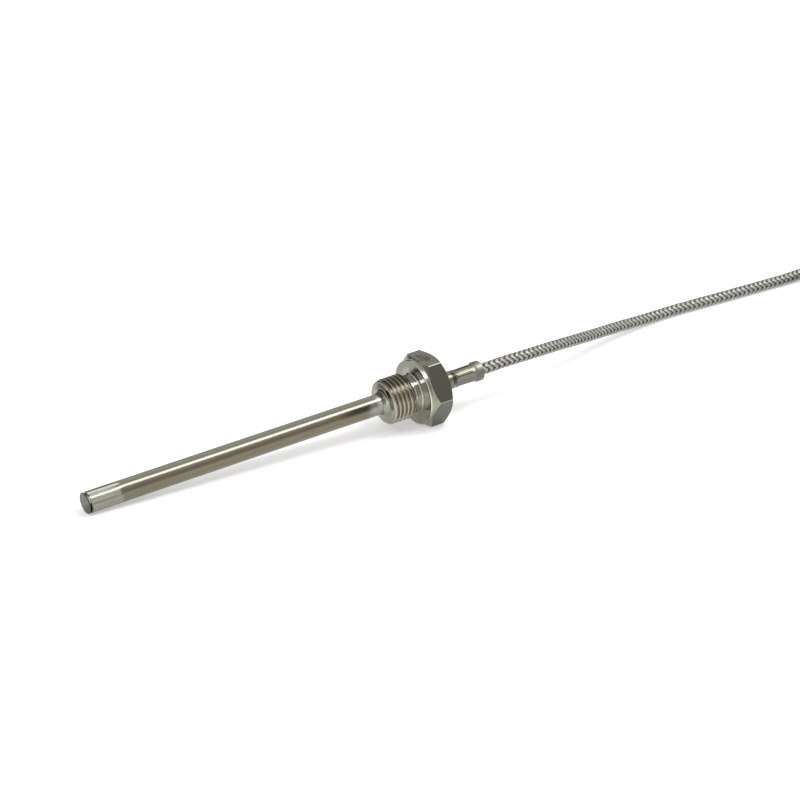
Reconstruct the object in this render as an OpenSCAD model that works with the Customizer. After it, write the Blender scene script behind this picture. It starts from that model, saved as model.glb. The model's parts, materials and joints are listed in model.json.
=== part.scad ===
// Screw-in resistance thermometer: a slim sheath brazed into a hexagon fitting,
// with its rear end crimped on a metal-braided cable.
// The probe lies on a flat surface at z = 0, on the mouth of its sheath tip and on one
// flat of the hexagon. X runs from the tip to the cable, and the origin is the middle
// of the probe's footprint.

/* [Sheath] */
// Outer diameter of the sheath tube
sheath_d = 6; // [5.6:0.1:7]
// Wall thickness of the sheath tube
sheath_wall = 0.75; // [0.6:0.05:0.8]
// Length from the seating face to the end of the tip
insert_l = 103.5; // [85:0.5:180]
// Length from the seating face to the rear mouth of the sheath
rear_l = 22.8; // [20:0.1:30]

/* [Tip plug] */
// Thickness of the plug's end disc
disc_t = 0.65; // [0.4:0.05:1]
// Diameter of the plug's end disc
disc_d = 5.9; // [5.2:0.05:6]
// Open groove between the end disc and the tube, at the middle
groove_w = 0.4; // [0.3:0.05:0.7]
// Length of the plug's spigot inside the tube
spigot_l = 2.4; // [1.5:0.1:4]
// Angle by which the plug's disc sits askew
plug_skew = 2; // [0:0.5:3]
// Direction round the axis in which the groove under the disc is widest
plug_skew_at = -55; // [-180:5:180]
// Width of the tack weld across the groove, as an angle round the axis
tack_angle = 34; // [20:1:60]
// Direction of the tack weld round the axis
tack_at = -128; // [-180:1:180]

/* [Screw fitting] */
// Outer diameter of the process thread, a quarter-inch pipe thread
thread_d = 13.157; // [12:0.001:14]
// Length of the threaded shank, from the seating face
shank_l = 10.15; // [9:0.05:14]
// Diameter of the shank's front face, inside its chamfer
shank_face_d = 12.1; // [11:0.1:12.5]
// Diameter of the relief groove behind the thread
relief_d = 11.2; // [10:0.1:11.6]
// Width of the relief groove
relief_w = 2; // [1.2:0.1:3]
// Diameter of the sealing collar
collar_d = 18.8; // [17:0.1:18.8]
// Thickness of the sealing collar
collar_t = 1.2; // [0.8:0.1:2]
// Hexagon size across its flats
hex_af = 19; // [19:0.5:22]
// Thickness of the hexagon
hex_t = 6.1; // [5:0.1:9]
// Diameter of the flat ring inside the hexagon's chamfers
hex_ring_d = 18.9; // [18.2:0.05:19]
// Angle of the hexagon's chamfers
hex_chamfer = 34; // [25:1:40]
// Radius of the braze fillet between the sheath and the shank
fillet_r = 1.7; // [1:0.1:2]

/* [Crimp] */
// Length of the crimping jaws' marks
crimp_l = 5.6; // [4:0.1:8]
// Length of the uncrimped mouth behind the crimp
mouth_l = 2.6; // [2:0.1:4]
// Length over which the tube necks down to the crimp
neck_l = 0.9; // [0.6:0.1:1.5]
// Angle by which the crimping jaws were turned round the axis
crimp_roll = 22; // [0:1:59]

/* [Sensing element] */
// Diameter of the ceramic sensing element
element_d = 2.8; // [2:0.1:3.2]
// Length of the ceramic sensing element
element_l = 25; // [15:0.5:30]
// Diameter of the element's own lead wires
element_lead_d = 0.3; // [0.2:0.05:0.4]
// Powder in front of the element
powder_front = 1.2; // [0.5:0.1:3]
// Powder behind the element
powder_rear = 7; // [3:0.5:12]
// Length of the cement that seals the powder in
cement_l = 2; // [1:0.1:4]
// Length of each brazed lead joint
joint_l = 3; // [2:0.1:4]
// Wall of the insulating sleeves on the joints
joint_sleeve_wall = 0.12; // [0.1:0.01:0.14]

/* [Cable] */
// Outer diameter of the braided cable
cable_d = 3.5; // [3.3:0.05:3.7]
// Thickness of the metal braid
braid_t = 0.3; // [0.2:0.05:0.35]
// Wall of the sheath under the braid
jacket_wall = 0.2; // [0.1:0.05:0.2]
// Diameter of one insulated core
core_d = 1; // [0.8:0.05:1]
// Diameter of a core's conductor
conductor_d = 0.45; // [0.3:0.05:0.5]
// Bare conductor between a joint and the core's insulation
strip_l = 1.5; // [1:0.1:3]
// Braid inside the sheath, past the crimp
braid_in_l = 4; // [2:0.5:6]
// Jacket inside the sheath, past the cut braid
jacket_in_l = 2; // [1:0.5:4]
// Wall of the lining sleeve in the sheath
lining_wall = 0.3; // [0.2:0.05:0.4]

/* [Cable end] */
// Radius of the coil's outermost turn, at the cable's middle
coil_r = 26; // [24:0.5:30]
// Turns side by side in one layer of the coil
coil_turns = 3; // [2:1:3]
// Thickness of a tie's strap
tie_t = 0.6; // [0.4:0.05:1]
// Width of a tie's strap
tie_w = 2.5; // [2:0.1:4]
// Diameter of the sleeve on the cable's far end
end_sleeve_d = 4.2; // [4:0.1:4.8]
// Length of the sleeve on the cable's far end
end_sleeve_l = 12; // [8:0.5:16]
// Diameter of one insulated tail lead
tail_d = 1.2; // [1:0.05:1.3]
// Length of the tail leads
tail_l = 30; // [25:1:34]
// Length of a wire-end ferrule's pin
ferrule_pin_l = 6; // [4:0.5:8]

/* [Hidden] */
$fn = 64;

slip = 0.05;        // clearance of a piece that slides into another
film = 0.02;        // clearance between pieces that are pressed or bonded together
past = 0.5;         // how far a cutter runs past what it cuts

sheath_r = sheath_d/2;
bore_d = sheath_d - 2*sheath_wall;
fitting_bore_d = sheath_d + 2*slip;
hex_front = collar_t;
hex_back = collar_t + hex_t;
hex_corner_r = hex_af/2/cos(30);
chamfer_drop = (hex_corner_r - hex_ring_d/2)*tan(hex_chamfer);
flat_start = hex_front + (hex_af - hex_ring_d)/2*tan(hex_chamfer);
tube_start = -insert_l + disc_t + groove_w;

// The tilt at which the tube's front edge and one flat of the hexagon touch the surface
tilt = atan((hex_af - sheath_d)/2/(flat_start - tube_start));
seat_z = hex_af/2*cos(tilt) - flat_start*sin(tilt);
x_front = -insert_l*cos(tilt) - disc_d/2*sin(tilt);
x_back = rear_l*cos(tilt) + sheath_r*sin(tilt);
seat_x = -(x_front + x_back)/2;
exit = [seat_x + rear_l*cos(tilt), 0, seat_z + rear_l*sin(tilt)];

// The crimp presses the tube's wall against the cable
crimp_af = cable_d + 2*sheath_wall + 2*film;
crimp_end = rear_l - mouth_l;
crimp_start = crimp_end - crimp_l;

// Stations along the inside, from the seating face
spigot_end = tube_start + spigot_l;
element_start = spigot_end + powder_front;
element_end = element_start + element_l;
powder_end = element_end + powder_rear;
cement_end = powder_end + cement_l;
joint_1_start = cement_end + 2;
joint_2_start = joint_1_start + joint_l + 4;
braid_start = crimp_start - braid_in_l;
jacket_start = braid_start - jacket_in_l;

// Cores lie in a triangle: the single one above, the pair below
jacket_d = cable_d - 2*braid_t - 2*film;
core_ring_r = (jacket_d - 2*jacket_wall - core_d)/2 - film;
function core_at(n) = core_ring_r*[cos(180 + 120*(n - 1)), sin(180 + 120*(n - 1))];
pair_x = -core_at(1)[0]/2;
joint_d = conductor_d + 0.2;
joint_2_shift = 0.08;
joint_sleeve_over = 1;
lead_offset = 0.56;
joint_2_w = 2*core_at(3)[1] + joint_d;

// The cable's way from the sheath's mouth to its coil: along X from the mouth, across,
// and above the surface
cable_route = [[8, 0.5, 11.1], [16, 1.4, 10.9], [24, 3.2, 10.2], [32, 5.7, 9.1],
               [40, 8.6, 7.7], [48, 11.7, 6.2], [56, 14.7, 4.8], [64, 17.4, 3.6],
               [72, 19.5, 2.6], [80, 21, 2], [88, 21.9, 1.8], [96, 22.2, 1.8],
               [104, 22.3, 1.8], [112, 22.4, 1.8], [120, 22.6, 1.8], [128, 22.8, 1.8],
               [136, 23, 1.8], [142, 23.2, 2], [148, 23.3, 2.4]];
coil_x = exit[0] + 163;
coil_y = cable_route[len(cable_route) - 1][1] - coil_r;
stub_l = 163 - cable_route[len(cable_route) - 1][0];
coil_z = tie_t;
coil_pitch = cable_d + 0.1;
coil_hollow_r = coil_r - coil_turns*coil_pitch - cable_d/2 - film;
coil_wall_r = coil_r + cable_d/2 + 0.15;
coil_h = 2*cable_d + 0.2;
coil_top = coil_z + coil_h;
first_turn_z = cable_route[len(cable_route) - 1][2];

// The end of the cable climbs on the coil, then the sleeve, the leads and the ferrules follow
end_r = coil_r - coil_turns*coil_pitch/2;
climb_from = 90;
climb_angle = 72;
sleeve_z = coil_top + end_sleeve_d/2 + film;
sleeve_at = climb_from - climb_angle;
sleeve_angle = end_sleeve_l/end_r*180/PI;
tail_z = coil_top + tail_d/2 + film;
tail_at = sleeve_at - sleeve_angle;
tail_angle = tail_l/end_r*180/PI;
tail_gap = tail_d + 0.15;
ferrule_at = tail_at - tail_angle;
ferrule_pin_d = tail_d - 0.3;
ferrule_collar_l = 3;
tie_at = [climb_from - 125, climb_from - 305];

// A point on the coil at a radius, an angle and a height
function on_coil(r, a, z) = [coil_x + r*cos(a), coil_y + r*sin(a), z];

// Local Z is the probe's axis, from the tip to the cable, with the seating face at zero;
// local X points at the surface that the probe lies on
module lay() {
  translate([seat_x, 0, seat_z]) rotate([0, 90 - tilt, 0]) children();
}

module rod(d, from, to, at = [0, 0]) {
  translate([at[0], at[1], from]) cylinder(d = d, h = to - from);
}

module pipe(d, wall, from, to, at = [0, 0]) {
  difference() {
    rod(d, from, to, at);
    rod(d - 2*wall, from - past, to + past, at);
  }
}

// A round bar that six jaws have pressed to a hexagon, as an outside or as a bore
module crimped_bar(d, af, from, to) {
  reach = (d - af)/2 + past;
  ramp = neck_l*reach/((d - af)/2);
  difference() {
    rod(d, from, to);
    for (i = [0:5])
      rotate([0, 0, crimp_roll + 60*i]) rotate([90, 0, 0])
        linear_extrude(height = d, center = true)
          polygon([[af/2, crimp_start], [af/2 + reach, crimp_start - ramp],
                   [af/2 + reach, crimp_end + ramp], [af/2, crimp_end]]);
  }
}

module sheath_tube() {
  mouth_flare = 0.25;
  color("#aaa68f") lay() difference() {
    crimped_bar(sheath_d, crimp_af, tube_start, rear_l);
    crimped_bar(bore_d, crimp_af - 2*sheath_wall, tube_start - past, rear_l + past);
    translate([0, 0, rear_l - mouth_flare])
      cylinder(d1 = bore_d, d2 = bore_d + 4*mouth_flare, h = 2*mouth_flare);
  }
}

// The end disc with its rounded rim, and the spigot that centres it
module plug_shape() {
  rim_r = 0.25;
  translate([0, 0, -insert_l + disc_t]) rotate([0, 0, plug_skew_at]) rotate([0, plug_skew, 0])
    translate([0, 0, -disc_t]) rotate_extrude() {
      translate([0, rim_r]) square([disc_d/2, disc_t - rim_r]);
      square([disc_d/2 - rim_r, disc_t]);
      translate([disc_d/2 - rim_r, rim_r]) circle(r = rim_r);
    }
  rod(bore_d - 4*slip, -insert_l + disc_t/2, spigot_end);
}

module tip_plug() {
  color("#8d8d88") lay() plug_shape();
}

// The weld fills a short arc of the groove, just under the rim of the disc
module tack_weld() {
  root_r = bore_d/2 - 2*slip + film;
  color("#9c9c8c") lay() difference() {
    rotate([0, 0, tack_at - tack_angle/2]) rotate_extrude(angle = tack_angle)
      translate([root_r, -insert_l + disc_t/2])
        square([disc_d/2 - film - root_r, disc_t/2 + groove_w]);
    plug_shape();
  }
}

module hexagon_body() {
  intersection() {
    translate([0, 0, hex_front]) rotate([0, 0, 30])
      cylinder(r = hex_corner_r, h = hex_t, $fn = 6);
    rotate_extrude()
      polygon([[0, hex_front], [hex_ring_d/2, hex_front],
               [hex_corner_r, hex_front + chamfer_drop], [hex_corner_r, hex_back - chamfer_drop],
               [hex_ring_d/2, hex_back], [0, hex_back]]);
  }
}

// Shank, relief groove and collar are turned, and the hexagon is milled, from one bar
module screw_fitting() {
  edge = 0.15;
  lead_in = (thread_d - shank_face_d)/2;
  run_out = (thread_d - relief_d)/2;
  root_r = 0.5;
  color("#a3a299") lay() difference() {
    union() {
      rotate_extrude() difference() {
        polygon([[0, -shank_l], [shank_face_d/2, -shank_l], [thread_d/2, -shank_l + lead_in],
                 [thread_d/2, -relief_w - run_out], [relief_d/2, -relief_w],
                 [relief_d/2, -root_r], [relief_d/2 + root_r, 0],
                 [collar_d/2 - edge, 0], [collar_d/2, edge], [collar_d/2, hex_front + edge],
                 [0, hex_front + edge]]);
        translate([relief_d/2 + root_r, -root_r]) circle(r = root_r);
      }
      hexagon_body();
    }
    rod(fitting_bore_d, -shank_l - past, hex_back + past);
    translate([0, 0, hex_back - edge])
      cylinder(d1 = fitting_bore_d, d2 = fitting_bore_d + 4*edge, h = 2*edge);
  }
}

// Silver braze, drawn up round the sheath as a hollow fillet
module braze_fillet() {
  foot = 0.12;
  color("#b9b7ad") lay() rotate_extrude() difference() {
    translate([sheath_r + film, -shank_l - film - fillet_r])
      square([fillet_r, fillet_r]);
    translate([sheath_r + film + fillet_r + foot, -shank_l - film - fillet_r - foot])
      circle(r = fillet_r);
  }
}

// A ceramic rod with a glazed round end, which holds the platinum winding
module sensing_element() {
  round_r = 0.4;
  color("#efe9dc") lay() rotate_extrude() {
    translate([0, element_start]) square([element_d/2 - round_r, element_l]);
    translate([0, element_start + round_r]) square([element_d/2, element_l - round_r]);
    translate([element_d/2 - round_r, element_start + round_r]) circle(r = round_r);
  }
}

// The element's leads: the upper one to the first joint, the lower one to the second
module lead_shape(n, grow = 0) {
  rod(element_lead_d + 2*grow, element_end, n == 1 ? joint_1_start : joint_2_start,
      [n == 1 ? -lead_offset : lead_offset, 0]);
}

module element_lead(n) {
  color("#d8d4c8") lay() lead_shape(n);
}

module powder_fill() {
  color("#f2f0ea") lay() difference() {
    rod(bore_d - 2*film, spigot_end + film, powder_end);
    rod(element_d + 2*film, element_start - film, element_end + film);
    for (n = [1, 2]) lead_shape(n, film);
  }
}

module cement_seal() {
  color("#d9cfb8") lay() difference() {
    rod(bore_d - 2*film, powder_end, cement_end);
    for (n = [1, 2]) lead_shape(n, film);
  }
}

// Joint 1 takes one core, joint 2 the pair, and they are staggered so that they can't touch
module joint_shape(n, grow = 0, over = 0) {
  d = joint_d + 2*grow;
  from = n == 1 ? joint_1_start : joint_2_start;
  if (n == 1)
    rod(d, from - over, from + joint_l + over, core_at(1));
  else
    translate([pair_x + joint_2_shift, 0, from - over])
      linear_extrude(height = joint_l + 2*over) {
        square([d, joint_2_w - joint_d], center = true);
        for (s = [-1, 1]) translate([0, s*(joint_2_w - joint_d)/2]) circle(d = d);
      }
}

module lead_joint(n) {
  color("#c7c2b4") lay() joint_shape(n);
}

module joint_sleeve(n) {
  color("#e8e2d2") lay() difference() {
    joint_shape(n, joint_sleeve_wall, joint_sleeve_over);
    joint_shape(n, film, joint_sleeve_over + past);
  }
}

module lining_sleeve() {
  color("#e6e0d0") lay()
    pipe(bore_d - 2*slip, lining_wall, cement_end + film, jacket_start - 1);
}

module core_wire(n) {
  from = (n == 1 ? joint_1_start : joint_2_start) + joint_l;
  color("#c9a06a") lay() rod(conductor_d, from, rear_l, core_at(n));
}

module core_insulation(n) {
  from = (n == 1 ? joint_1_start : joint_2_start) + joint_l + strip_l;
  color(n == 1 ? "#f1efe8" : "#b5302a") lay()
    pipe(core_d, (core_d - conductor_d)/2 - film, from, rear_l, core_at(n));
}

module cable_jacket_end() {
  color("#dcd7c8") lay() pipe(jacket_d, jacket_wall, jacket_start, rear_l);
}

module cable_braid_end() {
  color("#9a9a92") lay() pipe(cable_d, braid_t, braid_start, rear_l);
}

// A round bar of the given diameter along a list of points, with its first and last rings
// square to the given directions
module swept(points, d, sides, first, last) {
  n = len(points);
  function way(i) = i == 0 ? first : i == n - 1 ? last :
    let (a = points[i] - points[i - 1], b = points[i + 1] - points[i])
    a/norm(a) + b/norm(b);
  function ring(i) =
    let (t = way(i)/norm(way(i)), s = cross(t, [0, 0, 1]), u = s/norm(s), v = cross(u, t))
    [for (k = [0:sides - 1]) points[i] + d/2*(cos(360*k/sides)*u + sin(360*k/sides)*v)];
  polyhedron(
    points = [for (i = [0:n - 1]) each ring(i)],
    faces = concat(
      [[for (k = [0:sides - 1]) k]],
      [for (i = [0:n - 2], k = [0:sides - 1]) let (j = (k + 1)%sides)
        [i*sides + k, (i + 1)*sides + k, (i + 1)*sides + j, i*sides + j]],
      [[for (k = [sides - 1:-1:0]) (n - 1)*sides + k]]));
}

module cable() {
  way = concat([exit], [for (p = cable_route) [exit[0] + p[0], p[1], p[2]]]);
  color("#9a9a92") swept(way, cable_d, 8, [cos(tilt), 0, sin(tilt)], [1, 0, 0]);
}

// Two layers of turns with the end climbing on top, as one outer shape
module cable_coil() {
  soft = 1.2;
  color("#9a9a92") {
    translate([coil_x, coil_y, coil_z]) rotate_extrude($fn = 96)
      polygon([[coil_hollow_r, soft], [coil_hollow_r + soft, 0], [coil_wall_r - soft, 0],
               [coil_wall_r, soft], [coil_wall_r, coil_h - soft], [coil_wall_r - soft, coil_h],
               [coil_hollow_r + soft, coil_h], [coil_hollow_r, coil_h - soft]]);
    translate([coil_x - stub_l, coil_y + coil_r, first_turn_z]) rotate([0, 90, 0])
      cylinder(d = cable_d, h = stub_l);
    translate([coil_x, coil_y, 0]) rotate([0, 0, sleeve_at])
      rotate_extrude(angle = climb_angle/2) translate([end_r, sleeve_z]) {
        circle(d = cable_d);
        translate([-cable_d/4, -end_sleeve_d/2 - slip]) square([cable_d/2, end_sleeve_d/2]);
      }
  }
}

// A strap round the turns, closed by a small head on its outer side
module coil_tie(angle, height) {
  room = 0.1;
  head = [2.2, 4.4, 4];
  inner = [coil_wall_r - coil_hollow_r + 2*room, height];
  middle = (coil_wall_r + coil_hollow_r)/2;
  translate([coil_x, coil_y, 0]) rotate([0, 0, angle]) translate([middle, 0, 0]) {
    translate([0, tie_w/2, 0]) rotate([90, 0, 0]) linear_extrude(height = tie_w) difference() {
      translate([-inner[0]/2 - tie_t, 0]) square([inner[0] + 2*tie_t, inner[1] + 2*tie_t]);
      translate([-inner[0]/2, tie_t]) square(inner);
    }
    translate([inner[0]/2 + tie_t/2, -head[1]/2, tie_t + (inner[1] - head[2])/2])
      cube(head);
  }
}

module coil_ties() {
  color("#e9e9e4") {
    coil_tie(tie_at[0], coil_h + tail_d + 3*film);
    coil_tie(tie_at[1], coil_h + film);
  }
}

// The sleeve is bent with the cable, along the coil's ring
module end_sleeve() {
  color("#2b2b2b") translate([coil_x, coil_y, sleeve_z]) rotate([0, 0, tail_at])
    rotate_extrude(angle = sleeve_angle) translate([end_r, 0]) circle(d = end_sleeve_d);
}

// Each lead starts in the sleeve's end face and sinks to the top of the coil
module tail_lead(n) {
  steps = 12;
  side = n - 2;
  along = function (t) let (sink = min(1, t*6), spread = min(1, t*2))
    on_coil(end_r + side*(tail_d + 0.05 + (tail_gap - tail_d - 0.05)*spread),
            tail_at - t*tail_angle, sleeve_z + (tail_z - sleeve_z)*sink);
  first = [sin(tail_at), -cos(tail_at), 0];
  last = [sin(ferrule_at), -cos(ferrule_at), 0];
  color(n == 2 ? "#f1efe8" : "#b5302a")
    swept([for (i = [0:steps]) along(i/steps)], tail_d, 8, first, last);
}

module lead_ferrules() {
  color("#c2c2be") for (n = [1:3])
    translate([coil_x, coil_y, tail_z]) rotate([0, 0, ferrule_at])
      translate([end_r + (n - 2)*tail_gap, -film, 0]) rotate([90, 0, 0]) {
        cylinder(d = tail_d, h = ferrule_collar_l);
        cylinder(d = ferrule_pin_d, h = ferrule_collar_l + ferrule_pin_l);
      }
}

sheath_tube();
tip_plug();
tack_weld();
screw_fitting();
braze_fillet();
sensing_element();
element_lead(1);  // element_lead_1
element_lead(2);  // element_lead_2
powder_fill();
cement_seal();
lead_joint(1);  // lead_joint_1
lead_joint(2);  // lead_joint_2
joint_sleeve(1);  // joint_sleeve_1
joint_sleeve(2);  // joint_sleeve_2
lining_sleeve();
core_wire(1);  // core_wire_1
core_wire(2);  // core_wire_2
core_wire(3);  // core_wire_3
core_insulation(1);  // core_insulation_1
core_insulation(2);  // core_insulation_2
core_insulation(3);  // core_insulation_3
cable_jacket_end();
cable_braid_end();
cable();
cable_coil();
coil_ties();
end_sleeve();
tail_lead(1);  // tail_lead_1
tail_lead(2);  // tail_lead_2
tail_lead(3);  // tail_lead_3
lead_ferrules();
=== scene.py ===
import json
import math
import bpy
import numpy as np
from mathutils import Matrix


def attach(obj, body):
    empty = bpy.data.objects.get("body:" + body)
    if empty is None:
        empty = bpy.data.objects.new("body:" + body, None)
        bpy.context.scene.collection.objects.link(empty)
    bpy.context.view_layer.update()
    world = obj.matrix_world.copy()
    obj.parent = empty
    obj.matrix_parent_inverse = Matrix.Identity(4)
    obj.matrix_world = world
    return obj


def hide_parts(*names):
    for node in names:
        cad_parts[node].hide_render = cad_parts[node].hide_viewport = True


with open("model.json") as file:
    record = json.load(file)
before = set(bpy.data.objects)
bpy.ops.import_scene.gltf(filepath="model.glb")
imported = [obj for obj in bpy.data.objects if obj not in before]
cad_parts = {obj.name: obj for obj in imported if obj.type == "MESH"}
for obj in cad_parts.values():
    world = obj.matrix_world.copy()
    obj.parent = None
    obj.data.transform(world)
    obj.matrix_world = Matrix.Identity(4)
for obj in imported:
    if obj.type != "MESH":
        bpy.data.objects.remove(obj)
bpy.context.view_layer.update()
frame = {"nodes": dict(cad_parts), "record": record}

# A screw-in cable thermometer: slim sheath, hexagon head, crimp and braided cable.
# Sizes are in millimetres along the probe's own axis, and mm turns them into metres.
mm = 0.001
threadMount = next(m for m in frame["record"]["mounts"] if m["name"] == "process_thread")
mountAhead = 6.0  # the mount's point lies this far in front of the collar


def unit(vectors):
    return vectors / np.linalg.norm(vectors, axis=-1, keepdims=True)


along = unit(-np.array(threadMount["axis"], float))
side = np.array([0.0, 1.0, 0.0])
overhead = np.array([0.0, 0.0, 1.0])
upward = np.cross(along, side)
seat = np.array(threadMount["pos_m"]) + along * mountAhead * mm
tilt = math.atan2(along[2], along[0])


# a point on the probe: x along the axis from the collar's front, radius, and an angle that
# starts at the side that faces the ground and grows towards +Y
def onProbe(x, radius, angle):
    x, radius, angle = np.broadcast_arrays(x, radius, angle)
    spoke = -np.cos(angle)[..., None] * upward + np.sin(angle)[..., None] * side
    return seat + (x[..., None] * along + radius[..., None] * spoke) * mm


def smoothStep(low, high, value):
    t = np.clip((value - low) / (high - low), 0, 1)
    return t * t * (3 - 2 * t)


# a full turn in even steps, from 0
def evenTurn(count):
    return np.linspace(0, 2 * np.pi, count, endpoint=False)


# a camera or lamp, turned and placed by its own X, Y and Z axes
def putAt(name, data, right, up, back, place):
    made = bpy.data.objects.new(name, data)
    bpy.context.scene.collection.objects.link(made)
    matrix = np.eye(4)
    matrix[:3] = np.stack([right, up, back, place], 1)
    made.matrix_world = Matrix(matrix.tolist())
    return made


camera = {
    "place": (-0.29772, -0.51303, 0.28414),
    "forward": (0.49695, 0.76423, -0.41108),
    "right": (0.83770, -0.54613, -0.00261),
    "lens": 107.108,
    "sensor": 36.0,
    "clip": (0.01, 50.0),
}


def makeCamera(v):
    data = bpy.data.cameras.new("camera")
    data.lens, data.sensor_width = v["lens"], v["sensor"]
    data.clip_start, data.clip_end = v["clip"]
    forward = unit(np.array(v["forward"]))
    right = np.array(v["right"])
    right = unit(right - forward * (right @ forward))
    up = np.cross(right, forward)
    bpy.context.scene.camera = putAt("camera", data, right, up, -forward, v["place"])


makeCamera(camera)
print("camera made")


# One output of a node, for use in plain arithmetic
class Value:
    def __init__(self, paint, socket):
        self.paint, self.socket = paint, socket

    def maths(self, operation, *values):
        return self.paint.node("ShaderNodeMath", {"operation": operation}, dict(enumerate(values)))

    def __add__(self, other):
        return self.maths("ADD", self, other)

    def __sub__(self, other):
        return self.maths("SUBTRACT", self, other)

    def __rsub__(self, other):
        return self.maths("SUBTRACT", other, self)

    def __mul__(self, other):
        return self.maths("MULTIPLY", self, other)

    def __truediv__(self, other):
        return self.maths("DIVIDE", self, other)

    __radd__ = __add__
    __rmul__ = __mul__

    def sine(self):
        return self.maths("SINE", self)

    # 0 up to none and 1 from full on, smooth between; the other way round where full is less
    def step(self, none, full):
        return self.paint.node("ShaderNodeMapRange", {"interpolation_type": "SMOOTHSTEP"},
                               {"Value": self, "From Min": none, "From Max": full})

    # a step, and with two more values back from 1 to 0 between them
    def band(self, none, full, leaves=None, gone=None):
        inside = self.step(none, full)
        return inside if gone is None else inside * self.step(gone, leaves)


# A material with its nodes; colour, roughness and metal go to one Principled shader
class Paint:
    def __init__(self, name, tree=None):
        if tree is None:
            self.material = bpy.data.materials.new(name)
            self.material.use_nodes = True
            tree = self.material.node_tree
        self.tree = tree
        self.tree.nodes.clear()

    def node(self, kind, settings=None, sockets=None, output=0):
        made = self.tree.nodes.new(kind)
        for key, value in (settings or {}).items():
            setattr(made, key, value)
        for key, value in (sockets or {}).items():
            if isinstance(value, Value):
                self.tree.links.new(value.socket, made.inputs[key])
            elif isinstance(value, tuple) and made.inputs[key].type == "RGBA":
                made.inputs[key].default_value = (*value, 1)
            else:
                made.inputs[key].default_value = value
        return Value(self, made.outputs[output]) if len(made.outputs) else None

    def mix(self, factor, first, second):
        return self.node("ShaderNodeMix", {"data_type": "RGBA"}, {0: factor, 6: first, 7: second}, 2)

    # object coordinates in millimetres, from a start and about a turned Y axis
    def place(self, start=(0, 0, 0), turn=0.0):
        return self.node("ShaderNodeMapping", {"vector_type": "TEXTURE"},
                         {"Vector": self.node("ShaderNodeTexCoord", output="Object"),
                          "Location": start, "Rotation": (0, turn, 0), "Scale": (mm, mm, mm)})

    # the same in the probe's frame: X along the axis from the collar's front, Z upward
    def probePlace(self):
        place = self.place(tuple(seat), -tilt)
        self.x, self.y, self.z = self.split(place)
        return place

    # distance from the probe's axis
    def fromAxis(self):
        across = self.join(0.0, self.y, self.z)
        self.radius = self.node("ShaderNodeVectorMath", {"operation": "LENGTH"}, {0: across}, "Value")
        return self.radius

    def split(self, vector):
        return [self.node("ShaderNodeSeparateXYZ", None, {0: vector}, axis) for axis in range(3)]

    def join(self, x, y, z):
        return self.node("ShaderNodeCombineXYZ", None, {0: x, 1: y, 2: z})

    def noise(self, vector, scale, detail=3.0, rough=0.6):
        return self.node("ShaderNodeTexNoise", None,
                         {"Vector": vector, "Scale": scale, "Detail": detail, "Roughness": rough})

    def stretch(self, vector, scales):
        return self.node("ShaderNodeVectorMath", {"operation": "MULTIPLY"}, {0: vector, 1: scales})

    # distance out from the axis in the direction of an angle from the ground side
    def toward(self, angle):
        a = math.radians(angle)
        return self.y * math.sin(a) - self.z * math.cos(a)

    # how far round towards an angle: 0 beyond the given reach, 1 within a share of it
    def facing(self, angle, reach, share=0.3):
        around = self.toward(angle) / self.radius
        return around.step(math.cos(math.radians(reach)), math.cos(math.radians(reach * share)))

    # lays each mark's tint over a colour, by the product of all that the mark gives
    def lay(self, colour, marks, tints, **patterns):
        fields = {"x": self.x, "y": self.y, "z": self.z, "radius": self.radius}
        for tint, mask, where in marks:
            for key, value in where.items():
                if key == "faces":
                    mask = self.facing(*value) * mask
                elif key == "pattern":
                    mask = patterns[value] * mask
                else:
                    mask = fields[key].band(*value) * mask
            colour = self.mix(mask, colour, tints[tint])
        return colour

    # height in millimetres
    def bump(self, height):
        return self.node("ShaderNodeBump", None, {"Height": height, "Distance": mm, "Strength": 1.0})

    def finish(self, colour, rough, metal, height, **constants):
        sockets = {"Base Color": colour, "Roughness": rough, "Metallic": metal,
                   "Normal": self.bump(height)}
        sockets.update({key.replace("_", " "): value for key, value in constants.items()})
        shader = self.node("ShaderNodeBsdfPrincipled", None, sockets)
        self.node("ShaderNodeOutputMaterial", None, {"Surface": shader})
        return self.material


# A tint for Paint's lay, how much of it, and where it is: x, y, z and radius are bands, faces is
# an angle, a reach and a share, and pattern is the name of a value.
def mark(tint, amount=1.0, **where):
    return tint, amount, where


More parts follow.
